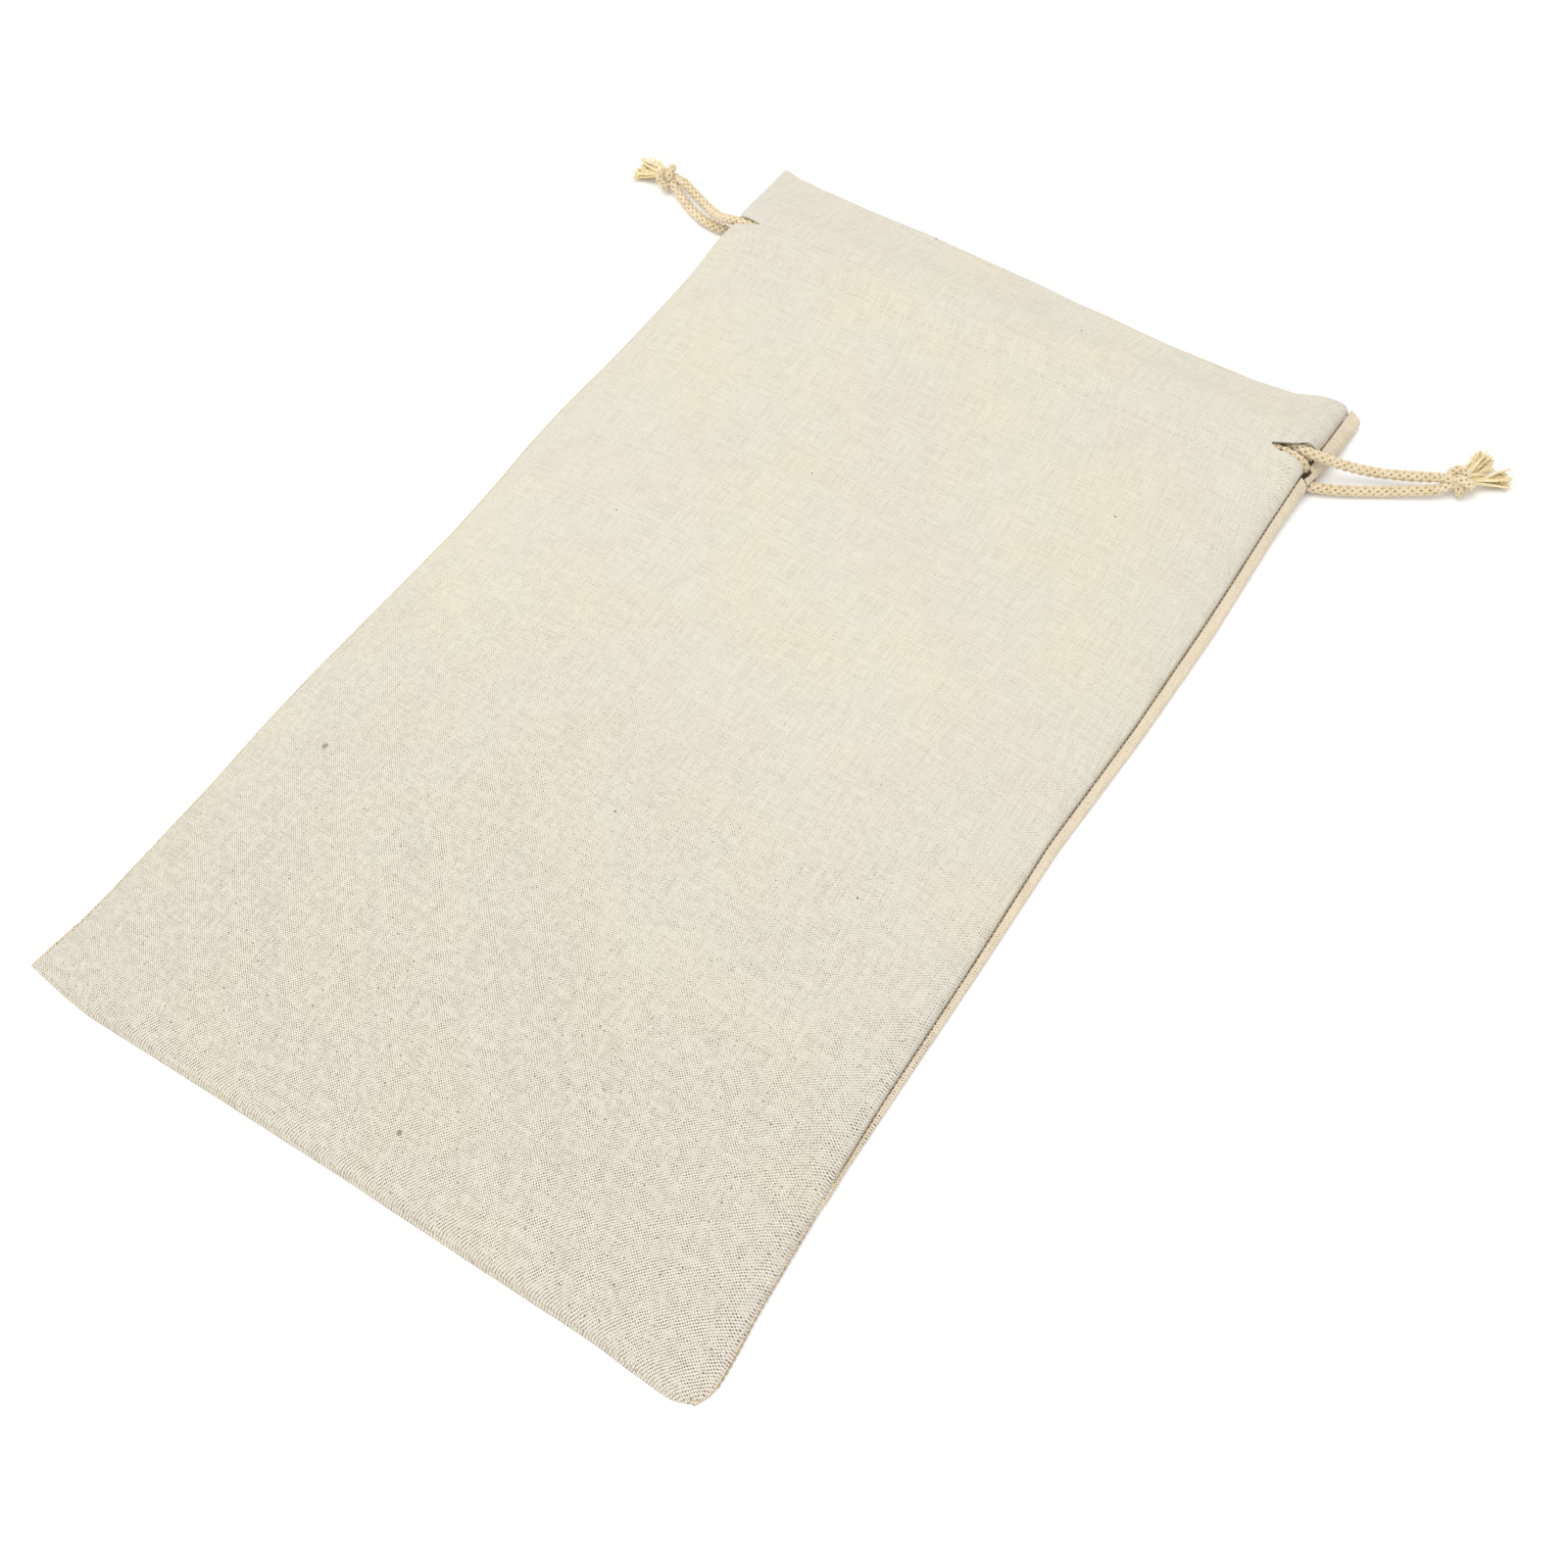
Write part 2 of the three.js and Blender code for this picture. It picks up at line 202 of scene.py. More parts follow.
# ---- Cord slits: the front panel's two lips, from where they meet out to the seam ----
SLIT_ROW = 134.4
RIGHT_LIPS = {
    "start": 86.5,
    "lower": Curve([(86.5, 134), (89, 132.6), (94, 133.2), (98, 134.4)], 0.6),
    "upper": Curve([
        (86.5, 134.6), (89, 136), (92, 137.7), (93.4, 138.8), (94.4, 140.4), (95.3, 141.5),
        (98.4, 142.8), (99.5, 143),
    ], 0.4),
}
LEFT_LIPS = {
    "start": -87.5,
    "lower": Curve([(-98.5, 132.2), (-95, 132.7), (-90, 133.6), (-87.5, 135.3)], 0.6),
    "upper": Curve([(-98.5, 137.3), (-95, 136.8), (-90, 136.3), (-87.5, 135.7)], 0.6),
}
RIGHT_LIP_CLEAR = (94.6, 96)  # from here out the right lips are thick and droop, clear of the cord
# The turned-in edge of each upper lip: from and to X, and the Y and height values that slit_facing takes.
RIGHT_FACING = {"start": 89.5, "end": 98.2, "clear_of": 141.3, "reach_to": 138.6, "low": 9.2}
LEFT_FACING = {"start": -97.6, "end": -90.0, "clear_of": 137.1, "reach_to": 134.6, "low": 9.6}
# The back panel's cloth that comes up round the sides is left open where the cords come out.
STRIP_LOW = 132.8  # it stops here, below the cords
STRIP_HIGH = 138.2  # on the right it starts again here, and the upper cord passes over it
LEFT_STRIP_HIGH = 142.4  # on the left it starts again here, past both cords
BRIDGE_LOW = 133.4  # on the right a fold of it passes over the lower cord, from here to STRIP_HIGH


def lip_line(x, which):
    """Where a lip runs at x; in the middle of the bag it is the slit's own row."""
    right = RIGHT_LIPS[which](x)
    left = LEFT_LIPS[which](x)
    middle = np.interp(x, [LEFT_LIPS["start"], RIGHT_LIPS["start"]], [135.5, SLIT_ROW])
    return np.where(x > RIGHT_LIPS["start"], right, np.where(x < LEFT_LIPS["start"], left, middle))


def slit_shift(x, y):
    """Moves rows of the front panel apart, so that they follow the lips near the sides."""
    down = (lip_line(x, "lower") - SLIT_ROW + 0.2) * smoothstep(y, 118, SLIT_ROW)
    up = (lip_line(x, "upper") - SLIT_ROW - 0.2) * (1 - smoothstep(y, SLIT_ROW, 168))
    return np.where(y < SLIT_ROW, down, up)


# ---- Mesh helpers ----
def vertex_normals(points, quads):
    a, b, c, d = (points[quads[:, i]] for i in range(4))
    face = np.cross(c - a, d - b)
    normals = np.zeros_like(points)
    for i in range(4):
        np.add.at(normals, quads[:, i], face)
    return normals / np.maximum(np.linalg.norm(normals, axis=1, keepdims=True), 1e-9)


def border(quads):
    """The edges that only one quad uses, in that quad's direction."""
    count = {}
    for quad in quads:
        for i in range(4):
            edge = (int(quad[i]), int(quad[(i + 1) % 4]))
            count[edge] = count.get(edge, 0) + 1
    return [e for e in count if (e[1], e[0]) not in count]


def thickened(points, quads, thickness):
    """A closed sheet whose outer face is the given one, with its other face that far behind."""
    used = np.unique(quads)
    renumber = np.full(len(points), -1)
    renumber[used] = np.arange(len(used))
    points = points[used]
    thickness = np.broadcast_to(thickness, renumber.shape)[used]
    quads = renumber[quads]
    behind = points - vertex_normals(points, quads) * thickness[:, None]
    count = len(points)
    faces = [tuple(q) for q in quads] + [tuple(q[::-1] + count) for q in quads]
    faces += [(b, a, a + count, b + count) for a, b in border(quads)]
    return np.vstack([points, behind]), faces


def grid_quads(rows, columns, keep=None):
    index = np.arange(rows * columns).reshape(rows, columns)
    quads = np.stack([index[:-1, :-1], index[:-1, 1:], index[1:, 1:], index[1:, :-1]], axis=-1)
    return quads[keep] if keep is not None else quads.reshape(-1, 4)


class Parts:
    """Several closed meshes gathered into one. A face's look is its material's number in the piece."""

    def __init__(self):
        self.points = []
        self.faces = []
        self.looks = []
        self.count = 0

    def add(self, points, faces, look=0):
        self.points.append(np.asarray(points, float))
        self.faces += [tuple(int(i) + self.count for i in f) for f in faces]
        self.looks += [look] * len(faces)
        self.count += len(points)

    def join(self, other):
        self.points += other.points
        self.faces += [tuple(i + self.count for i in f) for f in other.faces]
        self.looks += other.looks
        self.count += other.count


def make_piece(name, parts, materials, body, replaced):
    mesh = bpy.data.meshes.new(name)
    mesh.from_pydata((np.vstack(parts.points) * MM).tolist(), [], parts.faces)
    mesh.update()
    mesh.polygons.foreach_set("use_smooth", [True] * len(mesh.polygons))
    mesh.set_sharp_from_angle(angle=math.radians(55))
    for material in materials:
        mesh.materials.append(material)
    mesh.polygons.foreach_set("material_index", parts.looks)
    piece = bpy.data.objects.new(name, mesh)
    bpy.context.scene.collection.objects.link(piece)
    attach(piece, body)
    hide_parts(*replaced)
    return piece


# ---- Lines, tubes and braids ----
def spline(points, per_span=14):
    """A centripetal Catmull-Rom curve through the points."""
    p = np.array(points, float)
    p = np.vstack([2 * p[0] - p[1], p, 2 * p[-1] - p[-2]])
    out = []
    for i in range(1, len(p) - 2):
        p0, p1, p2, p3 = p[i - 1 : i + 3]
        t = np.cumsum([0] + [np.linalg.norm(b - a) ** 0.5 for a, b in ((p0, p1), (p1, p2), (p2, p3))])
        for s in np.linspace(t[1], t[2], per_span, endpoint=False):
            a1 = (t[1] - s) / (t[1] - t[0]) * p0 + (s - t[0]) / (t[1] - t[0]) * p1
            a2 = (t[2] - s) / (t[2] - t[1]) * p1 + (s - t[1]) / (t[2] - t[1]) * p2
            a3 = (t[3] - s) / (t[3] - t[2]) * p2 + (s - t[2]) / (t[3] - t[2]) * p3
            b1 = (t[2] - s) / (t[2] - t[0]) * a1 + (s - t[0]) / (t[2] - t[0]) * a2
            b2 = (t[3] - s) / (t[3] - t[1]) * a2 + (s - t[1]) / (t[3] - t[1]) * a3
            out.append((t[2] - s) / (t[2] - t[1]) * b1 + (s - t[1]) / (t[2] - t[1]) * b2)
    out.append(p[-2])
    return np.array(out)


def spaced(line, step):
    """The same line with even steps, no longer than the given one."""
    along = arc_length(line)
    count = max(2, math.ceil(along[-1] / step) + 1)
    at = np.linspace(0, along[-1], count)
    return np.stack([np.interp(at, along, line[:, k]) for k in range(3)], axis=1)


def arc_length(line):
    return np.concatenate([[0], np.cumsum(np.linalg.norm(np.diff(line, axis=0), axis=1))])


def frames(line):
    """Directions along a line, and two across it that don't twist."""
    along = np.gradient(line, axis=0)
    along /= np.linalg.norm(along, axis=1, keepdims=True)
    start = np.array([0, 0, 1.0]) if abs(along[0, 2]) < 0.9 else np.array([1.0, 0, 0])
    across = [start - along[0] * (start @ along[0])]
    for k in range(1, len(line)):
        v = across[-1] - along[k] * (across[-1] @ along[k])
        across.append(v / np.linalg.norm(v))
    across[0] /= np.linalg.norm(across[0])
    across = np.array(across)
    return along, across, np.cross(along, across)


def tube(line, radii, sides=6, flat=1.0, outward=None):
    """A closed tube. flat below 1 thins it in the outward direction, which it then follows."""
    along, across, other = frames(line)
    if outward is not None:
        across = outward - along * (outward * along).sum(1, keepdims=True)
        across /= np.maximum(np.linalg.norm(across, axis=1, keepdims=True), 1e-9)
        other = np.cross(along, across)
    radii = np.broadcast_to(radii, len(line))[:, None, None]
    turn = np.arange(sides) * 2 * math.pi / sides
    rings = across[:, None] * (np.cos(turn) * flat)[None, :, None]
    rings = rings + other[:, None] * np.sin(turn)[None, :, None]
    points = (line[:, None] + rings * radii).reshape(-1, 3)
    faces = []
    for k in range(len(line) - 1):
        for i in range(sides):
            a, b = k * sides + i, k * sides + (i + 1) % sides
            faces.append((a, b, b + sides, a + sides))
    faces.append(tuple(range(sides))[::-1])
    last = (len(line) - 1) * sides
    faces.append(tuple(range(last, last + sides)))
    return points, faces


BRAID_CARRIERS = 4  # strands that wind each way
BRAID_PITCH = 9.6  # one full turn of a strand
BRAID_STEP = 0.4
CORE_SHADE_LOOK = 1  # the core's place in CORD_LOOKS, whose dark brown is painted shade between the braid's strands


def braid(line, diameter, step=BRAID_STEP, sides=6, pitch=BRAID_PITCH, closed=False):
    """A round braid: strands that wind both ways about the line and pass over and under each other."""
    line = spaced(line, step)
    _, across, other = frames(line)
    s = arc_length(line)
    if closed:
        turns = max(1, round(s[-1] / pitch))
        pitch = s[-1] / turns
    outer = diameter / 2
    thick = 0.22 * outer
    middle = outer - 1.6 * thick
    width = 0.62 * math.pi * middle / BRAID_CARRIERS
    made = Parts()
    # The dark core gives the painted shade seen in the gaps between the strands.
    made.add(*tube(line, middle - 0.5 * thick, 10), look=CORE_SHADE_LOOK)
    omega = 2 * math.pi / pitch
    for way in (1, -1):
        radius = middle + way * 0.6 * thick * np.cos(BRAID_CARRIERS * omega * s)
        for k in range(BRAID_CARRIERS):
            angle = way * omega * s + 2 * math.pi * k / BRAID_CARRIERS
            outward = across * np.cos(angle)[:, None] + other * np.sin(angle)[:, None]
            strand = line + outward * radius[:, None]
            made.add(*tube(strand, width, sides, flat=thick / width, outward=outward))
    return made


# ---- Materials ----
def srgb(r, g, b):
    def linear(v):
        v /= 255
        return v / 12.92 if v <= 0.04045 else ((v + 0.055) / 1.055) ** 2.4
    return (linear(r), linear(g), linear(b), 1)


class Nodes:
    """Short names for building a material's node tree."""

    def __init__(self, name):
        self.material = bpy.data.materials.new(name)
        self.material.use_nodes = True
        self.tree = self.material.node_tree
        self.shader = self.tree.nodes["Principled BSDF"]

    def node(self, kind, **settings):
        made = self.tree.nodes.new(kind)
        for key, value in settings.items():
            setattr(made, key, value)
        return made

    def link(self, source, target):
        self.tree.links.new(source, target)

    def put(self, socket, value):
        if isinstance(value, bpy.types.NodeSocket):
            self.link(value, socket)
        else:
            socket.default_value = value

    def math(self, operation, a, b=0.0):
        made = self.node("ShaderNodeMath", operation=operation)
        self.put(made.inputs[0], a)
        self.put(made.inputs[1], b)
        return made.outputs[0]

    def add(self, a, b):
        return self.math("ADD", a, b)

    def multiply(self, a, b):
        return self.math("MULTIPLY", a, b)

    def split(self, vector):
        made = self.node("ShaderNodeSeparateXYZ")
        self.link(vector, made.inputs[0])
        return made.outputs

    def mix(self, factor, a, b):
        made = self.node("ShaderNodeMix", data_type="RGBA")
        self.put(made.inputs[0], factor)
        self.put(made.inputs[6], a)
        self.put(made.inputs[7], b)
        return made.outputs[2]

    def ramp(self, value, low, high, to_low=0.0, to_high=1.0):
        made = self.node("ShaderNodeMapRange", interpolation_type="SMOOTHSTEP")
        for socket, number in zip(made.inputs, (value, low, high, to_low, to_high)):
            self.put(socket, number)
        return made.outputs[0]

    def noise(self, vector, scale, detail=2.0, roughness=0.5):
        made = self.node("ShaderNodeTexNoise")
        self.link(vector, made.inputs["Vector"])
        made.inputs["Scale"].default_value = scale
        made.inputs["Detail"].default_value = detail
        made.inputs["Roughness"].default_value = roughness
        return made.outputs["Fac"]

    def scaled(self, vector, factors):
        made = self.node("ShaderNodeVectorMath", operation="MULTIPLY")
        self.link(vector, made.inputs[0])
        made.inputs[1].default_value = factors
        return made.outputs[0]

    def place(self):
        """The place on the object in millimetres."""
        return self.scaled(self.node("ShaderNodeTexCoord").outputs["Object"], (1 / MM, 1 / MM, 1 / MM))

    def bump(self, height, strength, distance):
        made = self.node("ShaderNodeBump")
        made.inputs["Strength"].default_value = strength
        made.inputs["Distance"].default_value = distance
        self.link(height, made.inputs["Height"])
        self.link(made.outputs[0], self.shader.inputs["Normal"])

    def finish_shader(self, colour, roughness, sheen):
        self.link(colour, self.shader.inputs["Base Color"])
        self.shader.inputs["Roughness"].default_value = roughness
        self.shader.inputs["Sheen Weight"].default_value = sheen
        self.shader.inputs["Sheen Roughness"].default_value = 0.6
        self.shader.inputs["Specular IOR Level"].default_value = 0.25


WEAVE = 0.78  # two threads of the weave
# Painted shade for the weave's gaps, where the threads dip.
WEAVE_GAP_SHADE = srgb(88, 75, 62)
SEED_FLECK = srgb(92, 74, 58)
FLECKS_PER_MM = 0.26  # along and across the cloth, before all but a few are left out
FLECKS_LEFT_OUT = 0.8
# Specks in the cloth: where they are in millimetres, and how big.
SPECKS = [
    (-78.6, -84.4, 1.0), (5.4, -155.1, 0.8), (20, 147, 0.35), (60.8, 90.6, 0.35), (-1.6, -60.7, 0.4),
    (62.9, -48.8, 0.35), (-38.3, 161, 0.4), (-60, 20, 0.3), (30, -110, 0.3), (-20, 60, 0.3),
]


def flattened(n):
    """The place on the cloth. Height counts towards X, so that the weave doesn't streak down the sides."""
    x, y, z = n.split(n.place())
    join = n.node("ShaderNodeCombineXYZ")
    n.link(n.add(x, z), join.inputs[0])
    n.link(y, join.inputs[1])
    return join.outputs[0], x, y


def calico(name, plain, warm, rose):
    """Plain weave with slubs, blotches and seed flecks, with painted shade in its gaps and painted
    highlights on its raised threads. Its gaps show more near the bottom of the bag.
    """
    n = Nodes(name)
    flat, x, y = flattened(n)

    # The threads wander a little to either side.
    warp_drift = n.noise(n.scaled(flat, (0.9, 0.05, 1)), 1.0)
    weft_drift = n.noise(n.scaled(flat, (0.05, 0.9, 1)), 1.0)
    across, along, _ = n.split(flat)
    across = n.add(across, n.multiply(warp_drift, 0.5))
    along = n.add(along, n.multiply(weft_drift, 0.5))
    turn = 2 * math.pi / WEAVE
    weave = n.multiply(n.math("SINE", n.multiply(across, turn)), n.math("SINE", n.multiply(along, turn)))

    # How strongly the weave, with its painted gap shade and highlights, shows, in patches, and weaker away
    # from the bottom.
    grain = n.ramp(n.noise(flat, 0.45, 3, 0.6), 0.36, 0.62, 0.5, 1.15)
    uneven = n.ramp(n.noise(flat, 1.7, 1), 0.36, 0.64, 0.55, 1.2)
    up_the_bag = n.add(y, n.multiply(n.noise(flat, 0.03, 2), 120))
    crisp = n.ramp(up_the_bag, -120, 90, 1.0, 0.3)
    height = n.multiply(weave, n.multiply(grain, n.multiply(crisp, uneven)))
    slub_warp = n.noise(n.scaled(flat, (2.2, 0.09, 1)), 1.0, 2)
    slub_weft = n.noise(n.scaled(flat, (0.09, 2.2, 1)), 1.0, 2)
    slub = n.add(slub_warp, slub_weft)

    # The unbleached cotton's colour drifts over the cloth, and shade is painted darker into the weave's
    # gaps, where the threads dip.
    colour = n.mix(n.ramp(n.noise(flat, 0.018, 2), 0.38, 0.62), warm, rose)
    colour = n.mix(n.ramp(n.noise(flat, 0.035, 3), 0.4, 0.6, 0.15, 0.75), colour, plain)
    # Rosier towards the bottom of the bag.
    colour = n.mix(n.multiply(crisp, 0.45), colour, rose)
    # Painted shade where the weave's height is low, plus the slubs' own uneven tone.
    dark = n.add(n.ramp(height, -0.85, 0.15, 1.0, 0.0), n.ramp(slub, 0.7, 1.25, 0.1, -0.04))
    colour = n.mix(n.math("MINIMUM", dark, 1.0), colour, WEAVE_GAP_SHADE)
    # The threads' own tone varies at random, and a painted highlight lightens the weave's raised threads.
    fine = n.ramp(n.noise(flat, 2.2, 1), 0.3, 0.7, 0.95, 1.05)
    shade = n.node("ShaderNodeVectorMath", operation="SCALE")
    n.link(colour, shade.inputs[0])
    n.link(n.add(fine, n.ramp(height, 0.2, 0.9, 0.0, 0.14)), shade.inputs["Scale"])
    colour = shade.outputs[0]

    # Small seed flecks by chance, then the specks that have their own places.
    cells = n.node("ShaderNodeTexVoronoi", voronoi_dimensions="2D")
    cells.inputs["Scale"].default_value = FLECKS_PER_MM
    n.link(flat, cells.inputs["Vector"])
    chance = n.node("ShaderNodeSeparateColor")
    n.link(cells.outputs["Color"], chance.inputs[0])
    fleck = n.multiply(n.ramp(cells.outputs["Distance"], 0.03, 0.08, 1.0, 0.0), crisp)
    fleck = n.multiply(fleck, n.math("GREATER_THAN", chance.outputs[0], FLECKS_LEFT_OUT))
    colour = n.mix(n.multiply(fleck, 0.8), colour, SEED_FLECK)
    for place_x, place_y, radius in SPECKS:
        away_x = n.math("POWER", n.math("SUBTRACT", x, place_x), 2)
        away_y = n.math("POWER", n.math("SUBTRACT", y, place_y), 2)
        away = n.math("SQRT", n.add(away_x, away_y))
        spot = n.ramp(away, radius * 0.5, radius * 1.2, 0.95 - 0.4 * radius, 0.0)
        colour = n.mix(spot, colour, SEED_FLECK)

    n.bump(n.add(n.multiply(height, 0.5), n.multiply(slub, 0.7)), 0.35, 0.00012)
    n.finish_shader(colour, 0.92, 0.08)
    return n.material


def cotton(name, light, dark, fibre_scale):
    """Soft cotton yarn: fine fibres and uneven dye."""
    n = Nodes(name)
    place = n.place()
    fibres = n.noise(place, fibre_scale, 4, 0.65)
    patches = n.noise(place, 0.25, 2)
    mixed = n.add(n.multiply(fibres, 0.6), n.multiply(patches, 0.4))
    n.bump(fibres, 0.4, 0.0002)
    n.finish_shader(n.mix(n.ramp(mixed, 0.36, 0.62), dark, light), 0.9, 0.12)
    return n.material


CLOTH_LOOK = calico("calico", srgb(211, 207, 192), srgb(213, 207, 185), srgb(211, 203, 191))
# The back panel has a warmer copy of the same calico: painted warm shade on the strips of it that show
# beside the seams.
BACK_WARM_SHADE_LOOK = calico("calico_back_warm_shade", srgb(218, 205, 180), srgb(220, 205, 175), srgb(218, 203, 180))
CORD_LOOKS = [
    cotton("cotton_cord", srgb(226, 212, 184), srgb(208, 188, 148), 2.4),
    # The core is dark brown: painted shade, seen in the gaps between the braid's strands.
    cotton("cord_core_shade", srgb(138, 108, 66), srgb(104, 78, 44), 2.4),
]
FIBRE_LOOK = cotton("cord_fibres", srgb(236, 223, 184), srgb(216, 194, 142), 1.4)
THREAD_LOOK = cotton("sewing_thread", srgb(188, 172, 142), srgb(140, 118, 86), 3.0)
BOTTOM_THREAD_LOOK = cotton("bottom_thread", srgb(206, 194, 172), srgb(176, 160, 134), 3.0)
HEM_THREAD_LOOK = cotton("pale_thread", srgb(226, 218, 204), srgb(206, 196, 178), 3.0)


# ---- Camera and light ----
def add_camera():
    """Looks down on the bag from its lower right side, from about half a metre away."""
    data = bpy.data.cameras.new("camera")
    data.lens = 39.21
    data.sensor_width = 36
    data.clip_start = 0.01
    data.clip_end = 50
    camera = bpy.data.objects.new("camera", data)
    place = Matrix.Translation((0.16385, -0.21456, 0.37970))
    right = Vector((0.83697, 0.54631, -0.03196))
    up = Vector((-0.45212, 0.72320, 0.52208))
    back = Vector((0.30833, -0.42252, 0.85230))
    camera.matrix_world = place @ Matrix((right, up, back)).transposed().to_4x4()
    bpy.context.scene.collection.objects.link(camera)
    bpy.context.scene.camera = camera


def add_studio():
    """White light from all round, and one large soft lamp above."""
    world = bpy.data.worlds.new("studio")
    world.use_nodes = True
    background = world.node_tree.nodes["Background"]
    background.inputs["Color"].default_value = (1, 1, 1, 1)
    background.inputs["Strength"].default_value = 0.95
    bpy.context.scene.world = world
    bpy.context.scene.view_settings.view_transform = "Standard"
    lamp = bpy.data.lights.new("key", "AREA")
    lamp.shape = "DISK"
    lamp.size = 1.1
    lamp.energy = 12
    light = bpy.data.objects.new("key", lamp)
    place = Vector((-0.25, -0.35, 1.5))
    light.location = place
    light.rotation_euler = (-place).to_track_quat("-Z", "Y").to_euler()
    bpy.context.scene.collection.objects.link(light)


def add_floor():
    """A plain white floor, a tenth of a millimetre below the bag."""
    mesh = bpy.data.meshes.new("floor")
    reach = 6.0
    corners = [(-reach, -reach), (reach, -reach), (reach, reach), (-reach, reach)]
    mesh.from_pydata([(x, y, -0.0001) for x, y in corners], [], [(0, 1, 2, 3)])
    n = Nodes("floor_paper")
    n.shader.inputs["Base Color"].default_value = (0.96, 0.96, 0.96, 1)
    n.shader.inputs["Roughness"].default_value = 0.9
    n.shader.inputs["Specular IOR Level"].default_value = 0.1
    mesh.materials.append(n.material)
    floor = bpy.data.objects.new("floor", mesh)
    bpy.context.scene.collection.objects.link(floor)


add_camera()
add_studio()
add_floor()


# ---- Drawstrings ----
# The tails' middle lines, from where each leaves its channel to its knot.
RIGHT_FRONT_TAIL = [
    (88.4, 139.6, 11.85), (91.4, 139.35, 11.5), (94.5, 139.3, 11.2), (99.5, 140.4, 10.3), (104.5, 143, 8),
    (109.5, 145.8, 6), (115, 148.6, 4.8), (121, 151.3, 4.6), (126.5, 153.6, 5), (130.5, 155.2, 5.6),
]
RIGHT_BACK_TAIL = [
    (88.4, 135.2, 2.6), (95, 135.2, 2.6), (101, 136, 2.6), (106.5, 138.3, 2.4), (112.5, 141.6, 2.2),
    (118.5, 145.1, 2.2), (124.5, 148.6, 2.6), (131.5, 152.6, 3.3),
]
LEFT_FRONT_TAIL = [
    (-88.4, 135.2, 12.1), (-95, 135, 12), (-100, 135.6, 10.7), (-104.3, 137.6, 8), (-108.5, 140.1, 6),
    (-113.5, 142.6, 4.9), (-119, 145.1, 4.7), (-127, 148.2, 5.3),
]
LEFT_BACK_TAIL = [
    (-88.4, 139.6, 2.6), (-95, 139.5, 2.7), (-101, 138.9, 2.8), (-107, 138.4, 2.3), (-113, 139.1, 2.2),
    (-119, 141.1, 2.3), (-126.5, 144.9, 3.1),
]


def cord_piece(name, line, body, step=BRAID_STEP, sides=6):
    made = braid(line, CORD_SHOWN, step, sides)
    return make_piece(f"{name}_braid", made, CORD_LOOKS, body, (name,))


def free_cord(name, route, body):
    line = spaced(spline(route), BRAID_STEP)
    piece = cord_piece(name, line, body)


def turn_line(side, front_y, back_y):
    """Round from the front channel to the back one, out through the slit on the given side."""
    a = np.linspace(0, math.pi, 40)
    t = (1 - np.cos(a)) / 2
    x = side * (TURN_START + TURN_REACH * np.sin(a))
    y = front_y + (back_y - front_y) * t
    z = FRONT_CORD_Z + (BACK_CORD_Z - FRONT_CORD_Z) * t
    return np.stack([x, y, z], axis=1)


KNOT_RING = 2.0  # the ring that the knotted cord follows twice round
KNOT_WIND = 1.5  # how far it winds about that ring
KNOT_CORD = 2.95  # the cord pulled tight
KNOT_PITCH = 8.0
KNOT_HEART = 2.3  # radius of what fills the knot's middle
KNOT_HEART_REACH = 2.8


def turned(points, towards, tilt=0.0):
    """Takes local points, whose X runs along the cord, to directions in the frame, rolled by tilt."""
    x = np.array([towards[0], towards[1], 0.0])
    x /= np.linalg.norm(x)
    y = np.array([-x[1], x[0], 0.0])
    z = np.array([0, 0, 1.0])
    c, s = math.cos(tilt), math.sin(tilt)
    y, z = y * c + z * s, z * c - y * s
    return points @ np.stack([x, y, z])


def knot_piece(name, centre, towards, ends, body, tilt):
    """An overhand knot: one cord that winds three times through its own loop, with both ends drawn in."""
    centre = np.array(centre, float)
    a = np.linspace(0, 2 * math.pi, 160)
    ring = KNOT_RING + KNOT_WIND * np.cos(3 * a)
    lengthwise = 1.1 * KNOT_WIND * np.sin(3 * a)
    loop = np.stack([lengthwise, ring * np.cos(2 * a), 0.88 * ring * np.sin(2 * a)], axis=1)
    line = centre + turned(loop, towards, tilt)
    made = braid(line, KNOT_CORD, 0.3, pitch=KNOT_PITCH, closed=True)
    filling = np.linspace(-2.6, 2.6, 9)
    heart = centre + turned(np.stack([filling, 0 * filling, 0 * filling], axis=1), towards)
    rounded = np.sqrt(np.maximum(1 - (filling / KNOT_HEART_REACH) ** 2, 0.02))
    made.add(*tube(heart, KNOT_HEART * rounded, 12))
    for end in ends:
        end = np.array(end, float)
        stub = end + (centre - end) * np.linspace(0, 0.72, 9)[:, None]
        made.join(braid(stub, CORD_SHOWN * 0.95))
    return make_piece(f"{name}_wound", made, CORD_LOOKS, body, (name,))


YARNS = 20  # in each bunch of a frayed end
YARN_RADIUS = 0.42
FINE_YARNS = 3  # that each yarn comes apart into
FINE_RADIUS = 0.17
FINE_START = 7  # the point of a yarn's line where they do


def yarn(start, direction, side, length, thick, draw, floor):
    """One strand of a frayed end, which waves and sinks to the floor: its middle line and its radii."""
    t = np.linspace(0, 1, 11)
    curl = draw.normal(0, 0.07) * length
    wave = np.sin(t * draw.uniform(4, 9) + draw.uniform(0, 6)) * 0.28
    line = start + np.outer(t * length, direction) + np.outer(curl * t**2 + wave * t, side)
    line[:, 2] += np.sin(t * draw.uniform(3, 7) + draw.uniform(0, 6)) * 0.2 * t
    sunk = (line[:, 2] - floor) * smoothstep(t, 0.0, 0.9)
    line[:, 2] = np.maximum(line[:, 2] - sunk * draw.uniform(0.3, 1.0), thick + 0.1)
    return line, thick * (1 - 0.3 * t)


